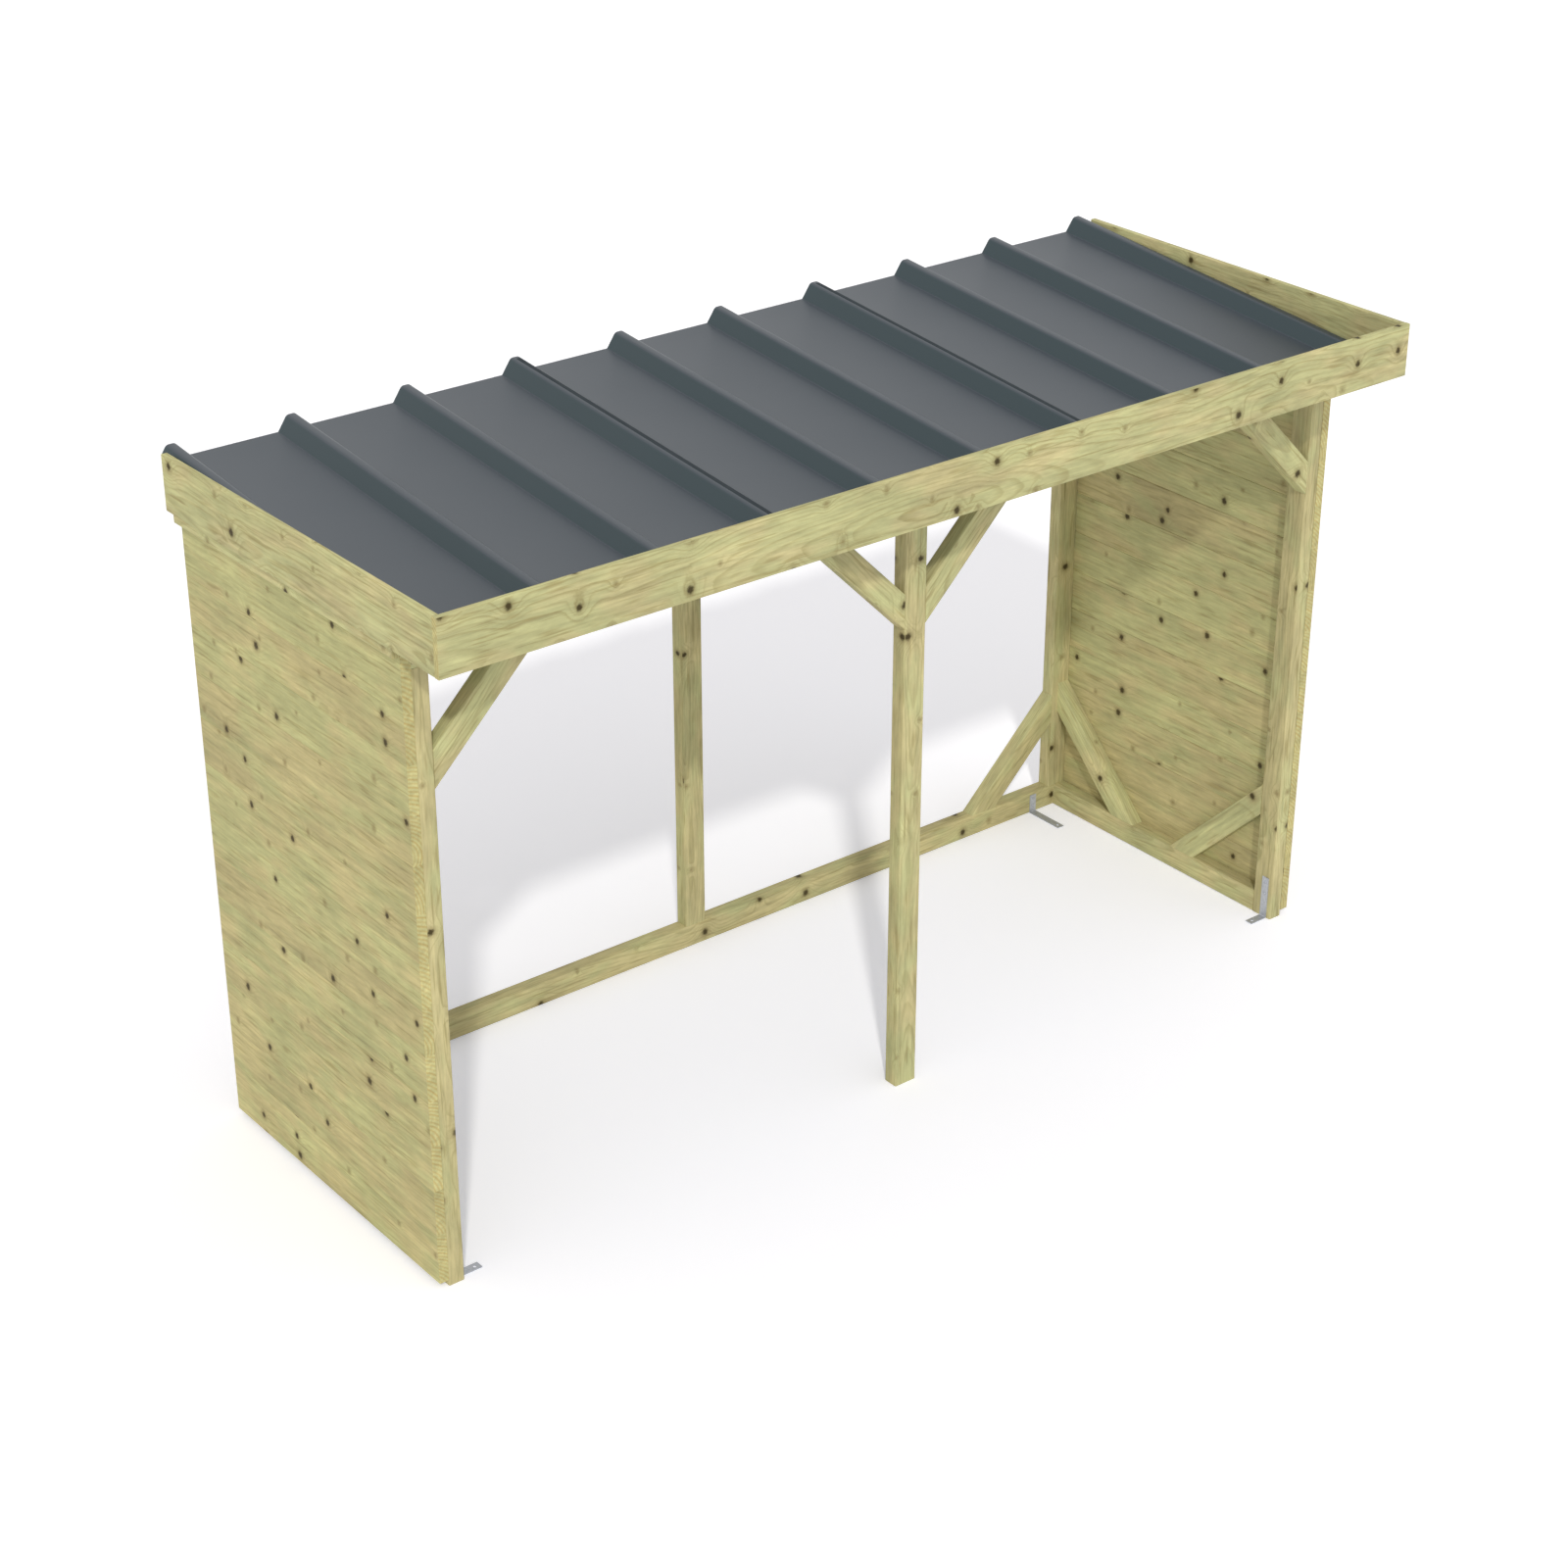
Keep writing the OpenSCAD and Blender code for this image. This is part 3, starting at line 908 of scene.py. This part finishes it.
steel, tree, shader, where = new_material("anthracite_steel")
cloudy = noise(tree, where, 3.0, 2.0)
grainy = noise(tree, where, 900.0, 2.0)
# Painted reflection: pans and crowns, which lie level, are painted lighter; steep rib sides stay darker,
# as painted shade.
level = attribute(tree, "level", "Fac")
cloudy_level = calc(tree, "MULTIPLY_ADD", cloudy, PAINTED_SKY_CLOUDS, level)
painted_sky_reflection = step_between(tree, cloudy_level, PAINTED_SKY_FROM, PAINTED_SKY_FULL)
feed(tree, blend_colours(tree, painted_sky_reflection, STEEP_COAT, LEVEL_COAT_PAINTED_SKY), shader.inputs["Base Color"])
feed(tree, calc(tree, "MULTIPLY_ADD", cloudy, 0.06, 0.35), shader.inputs["Roughness"])
shader.inputs["Specular IOR Level"].default_value = 0.62
bump(tree, grainy, shader, strength=0.08, distance=0.0002)

zinc, tree, shader, where = new_material("galvanised_zinc")
spangle = node(tree, "ShaderNodeTexVoronoi")
spangle.inputs["Scale"].default_value = 220.0
feed(tree, where, spangle.inputs["Vector"])
crystal = node(tree, "ShaderNodeSeparateColor", in_0=spangle.outputs["Color"]).outputs[0]
feed(tree, blend_colours(tree, crystal, ZINC_DARK, ZINC_LIGHT), shader.inputs["Base Color"])
shader.inputs["Metallic"].default_value = 0.5
feed(tree, calc(tree, "MULTIPLY_ADD", crystal, 0.15, 0.42), shader.inputs["Roughness"])

# Painted shade: a dark material for the strip that stands for the shade along each lap.
shade_strip_material, tree, shader, where = new_material("painted_shade_strip")
strip_mottle = noise(tree, where, 25.0, 3.0)
feed(tree, blend_colours(tree, strip_mottle, SHADE_STRIP_DARK, SHADE_STRIP_PALE), shader.inputs["Base Color"])
shader.inputs["Roughness"].default_value = 0.75
shader.inputs["Specular IOR Level"].default_value = 0.25
print("steel finishes:", steel.name, zinc.name, shade_strip_material.name)


# %% [markdown]
# ## Roof sheets
#
# A profiled sheet is one flat strip of steel, folded along its length. So it is made that way: a
# plane is laid on the first flat, and each further flat is extruded from its free edge. Bevelling
# the fold lines gives the soft bend of rolled steel, and Solidify gives the sheet its thickness.
# The last rib of a sheet is a little wider than the rest and laps over the first rib of the next
# one, which leaves a fine step along every third rib. The two outermost ribs are trimmed beside
# the fascia boards.

# %% Roof sheets
BAYS = 3
SHEET = 0.001
BEND_SEGMENTS = 3
HAIR = 0.0001
RIB_TOP = 0.024
RIB_FOOT = 0.074
RIB_RISE = 0.041
NEST = 0.0013
LAP_LIFT = 0.004
TRIM_HEIGHT = 0.020
CROWN_BEND = 0.006
FOOT_BEND = 0.002
FLANK = (RIB_FOOT - RIB_TOP) / 2
FLANK_LENGTH = math.hypot(FLANK, RIB_RISE)


def rib_corner(centre, side, raised, height):
    """A point on a rib's side; a rib raised by the nesting play fits over a plain one."""
    foot = RIB_FOOT / 2 + raised * FLANK_LENGTH / RIB_RISE
    top = RIB_TOP / 2 + raised * (FLANK_LENGTH - FLANK) / RIB_RISE
    share = height / (RIB_RISE + raised)
    return Vector((centre + side * (foot + (top - foot) * share), 0, height))


def rib(centre, left_height, right_height, raised=0.0):
    """The four corners of a rib, whose sides may end above the pan."""
    crown = RIB_RISE + raised
    return [rib_corner(centre, -1, raised, left_height), rib_corner(centre, -1, raised, crown),
            rib_corner(centre, 1, raised, crown), rib_corner(centre, 1, raised, right_height)]


def fold_sheet(name, path, front, rear):
    """Folds a strip of steel along a path, seen from its end."""
    start_clean()
    flat = path[1] - path[0]
    bpy.ops.mesh.primitive_plane_add(size=1.0, location=(path[0] + path[1]) / 2 + Y * (front + rear) / 2,
                                     rotation=(0, -math.atan2(flat.z, flat.x), 0))
    sheet = bpy.context.object
    sheet.name = name
    sheet.data.name = name
    sheet.scale = (flat.length, rear - front, 1)
    bpy.ops.object.transform_apply(location=True, rotation=True, scale=True)
    mesh = open_mesh(sheet)
    for edge in mesh.edges:
        edge.select_set(all(abs(v.co.x - path[1].x) < HAIR for v in edge.verts))
    bmesh.update_edit_mesh(sheet.data)
    for corner, following in zip(path[1:], path[2:]):
        bpy.ops.mesh.extrude_region_move(TRANSFORM_OT_translate={"value": following - corner})
    for radius, high_up in ((CROWN_BEND, True), (FOOT_BEND, False)):
        bpy.ops.mesh.select_all(action="DESELECT")
        mesh = bmesh.from_edit_mesh(sheet.data)
        for edge in mesh.edges:
            at_crown = min(v.co.z for v in edge.verts) > RIB_RISE - 0.003
            at_foot = max(v.co.z for v in edge.verts) < 0.001
            wanted = at_crown if high_up else at_foot
            edge.select_set(wanted and len(edge.link_faces) == 2)
        bmesh.update_edit_mesh(sheet.data)
        bpy.ops.mesh.bevel(offset=radius, offset_type="OFFSET", segments=BEND_SEGMENTS, profile=0.5,
                           affect="EDGES")
    bpy.ops.mesh.select_all(action="SELECT")
    bpy.ops.mesh.normals_make_consistent(inside=False)
    mesh = bmesh.from_edit_mesh(sheet.data)
    if sum(f.normal.z * f.calc_area() for f in mesh.faces) < 0:
        bpy.ops.mesh.flip_normals()
    close_mesh(sheet)
    bpy.ops.object.modifier_add(type="SOLIDIFY")
    solid = sheet.modifiers[-1]
    solid.thickness = SHEET
    solid.offset = 1.0
    solid.use_even_offset = True
    bpy.ops.object.modifier_apply(modifier=solid.name)
    return sheet


def mark_level_faces(sheet):
    """Stores how level each face lies: 1 on pans and crowns, about a half on a rib's sides."""
    mesh = sheet.data
    mesh.attributes.new("level", "FLOAT", "FACE")
    for polygon, mark in zip(mesh.polygons, mesh.attributes["level"].data):
        mark.value = abs(polygon.normal.z)


fall_point, fall_normal = top_slope("left_rafter")
uphill = X.cross(fall_normal) * -1


def lay_on_roof(piece):
    """Turns a piece that was made level to the fall of the roof and puts it on the rafters."""
    piece.rotation_euler = (math.atan2(uphill.z, uphill.y), 0, 0)
    piece.location = Vector((0, fall_point.y, fall_point.z))
    select_only(piece)
    bpy.ops.object.transform_apply(location=True, rotation=True, scale=True)


sheet_names = ["left_roof_sheet", "middle_roof_sheet", "right_roof_sheet"]
trim_share = TRIM_HEIGHT / RIB_RISE
edge_half = RIB_FOOT / 2 - FLANK * trim_share + SHEET * RIB_RISE / FLANK_LENGTH
first_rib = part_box("left_roof_sheet")[0].x + edge_half
rib_pitch = -2 * first_rib / (BAYS * len(sheet_names))

for k, name in enumerate(sheet_names):
    centres = [first_rib + (k * BAYS + i) * rib_pitch for i in range(BAYS + 1)]
    path = rib(centres[0], TRIM_HEIGHT if k == 0 else LAP_LIFT, 0.0)
    for centre in centres[1:-1]:
        path += rib(centre, 0.0, 0.0)
    if k == len(sheet_names) - 1:
        path += rib(centres[-1], 0.0, TRIM_HEIGHT)
    else:
        path += rib(centres[-1], 0.0, LAP_LIFT, NEST)
    runs = [(v.co - fall_point).dot(uphill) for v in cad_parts[name].data.vertices]
    sheet = fold_sheet(name + "_folded", path, min(runs), max(runs))
    mark_level_faces(sheet)
    lay_on_roof(sheet)
    finish(sheet, steel, "roof_steel", name)
    low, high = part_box(name)
    corners = [v.co for v in sheet.data.vertices]
    low_off = [round(min(c[i] for c in corners) - low[i], 5) for i in range(3)]
    high_off = [round(max(c[i] for c in corners) - high[i], 5) for i in range(3)]
    print(sheet.name, "lies off its CAD box by", low_off, high_off, "m")


# %% [markdown]
# ## Painted shade along the laps
#
# Where two sheets lap, a thin dark strip runs along the crown of the rib. It is painted shade: it
# stands for the dark line that shade draws along the lap. It is a thin bar laid on the crown and
# turned to the fall of the roof, with its long edges rounded down. It stops a little short of the
# sheet's ends.

# %% Painted shade strip along the laps
SHADE_STRIP_WIDTH = 0.012
SHADE_STRIP_OFFSET = 0.003
SHADE_STRIP_THICKNESS = 0.0007
SHADE_STRIP_SHORT = 0.012


def painted_shade_strip(name, centre, front, rear):
    """A thin dark strip on the crown of a lapping rib: painted shade along the lap."""
    seat = RIB_RISE + NEST + SHEET
    middle = centre + SHADE_STRIP_OFFSET
    low = Vector((middle - SHADE_STRIP_WIDTH / 2, front + SHADE_STRIP_SHORT, seat))
    high = Vector((middle + SHADE_STRIP_WIDTH / 2, rear - SHADE_STRIP_SHORT, seat + SHADE_STRIP_THICKNESS))
    strip = add_bar(name, low, high)
    top = seat + SHADE_STRIP_THICKNESS

    def upper_edge(a, b):
        return min(a.z, b.z) > top - HAIR and abs(a.y - b.y) > LONG

    round_edges(strip, upper_edge, SHADE_STRIP_THICKNESS * 0.8, 3)
    lay_on_roof(strip)
    return finish(strip, shade_strip_material, "roof_steel")


# One painted shade strip on each lapping rib.
for k in (1, 2):
    painted_shade_strip(f"painted_shade_strip_{k}", first_rib + k * BAYS * rib_pitch, min(runs), max(runs))
print("lap tapes: 2")


# %% [markdown]
# ## Ground brackets
#
# The four bent strips are right as they come from the CAD, hole and all, so they keep their shape
# and get a zinc finish. What they lack are the screws that hold them to the timber: small pan
# heads, each a short cylinder with a rounded rim and a sunken socket.

# %% Ground brackets and their screws
HEAD_SIDES = 24
HEAD_RADIUS = 0.0045
HEAD_HEIGHT = 0.0022
RIM_RADIUS = 0.0009
SOCKET_INSET = 0.0018
SOCKET_DEPTH = 0.0012
STRIP = 0.0025
FRONT_DROPS = (0.018, 0.055)
REAR_DROPS = (0.012, 0.038)


def screw_head(place, outward):
    """A pan-head screw that lies on a face and points outward from it."""
    start_clean()
    turn = outward.to_track_quat("Z", "Y").to_euler()
    bpy.ops.mesh.primitive_cylinder_add(vertices=HEAD_SIDES, radius=HEAD_RADIUS, depth=HEAD_HEIGHT,
                                        location=place + outward * HEAD_HEIGHT / 2, rotation=turn)
    head = bpy.context.object
    bpy.ops.object.transform_apply(location=True, rotation=True, scale=True)
    mesh = open_mesh(head, "FACE")
    for polygon in mesh.faces:
        polygon.select_set(polygon.normal.dot(outward) > 0.99)
    bmesh.update_edit_mesh(head.data)
    bpy.ops.mesh.bevel(offset=RIM_RADIUS, offset_type="OFFSET", segments=3, profile=0.5, affect="EDGES")
    mesh = bmesh.from_edit_mesh(head.data)
    for polygon in mesh.faces:
        facing_out = polygon.normal.dot(outward) > 0.999
        polygon.select_set(facing_out and len(polygon.verts) > 8)
    bmesh.update_edit_mesh(head.data)
    bpy.ops.mesh.inset(thickness=SOCKET_INSET)
    bpy.ops.mesh.extrude_region_move(TRANSFORM_OT_translate={"value": outward * -SOCKET_DEPTH})
    close_mesh(head)
    return head


def bracket_screws(name, face, spots):
    """Two screws on a bracket's upright leg; face is the way that the leg looks."""
    heads = [screw_head(spot, face) for spot in spots]
    select_only(*heads)
    bpy.ops.object.join()
    screws = bpy.context.object
    screws.name = name + "_screws"
    screws.data.name = screws.name
    return finish(screws, zinc, "zinc")


for name in ("left_front_bracket", "right_front_bracket", "left_rear_bracket", "right_rear_bracket"):
    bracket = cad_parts[name]
    bracket.data.materials.clear()
    bracket.data.materials.append(zinc)
    low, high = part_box(name)
    middle = (low + high) / 2
    if "front" in name:
        face = X if "left" in name else -X
        foot = low.x if "left" in name else high.x
        spots = [Vector((foot, middle.y, high.z - drop)) + face * STRIP for drop in FRONT_DROPS]
    else:
        face = -Y
        spots = [Vector((middle.x, high.y, high.z - drop)) + face * STRIP for drop in REAR_DROPS]
    bracket_screws(name, face, spots)
print("brackets: 4")
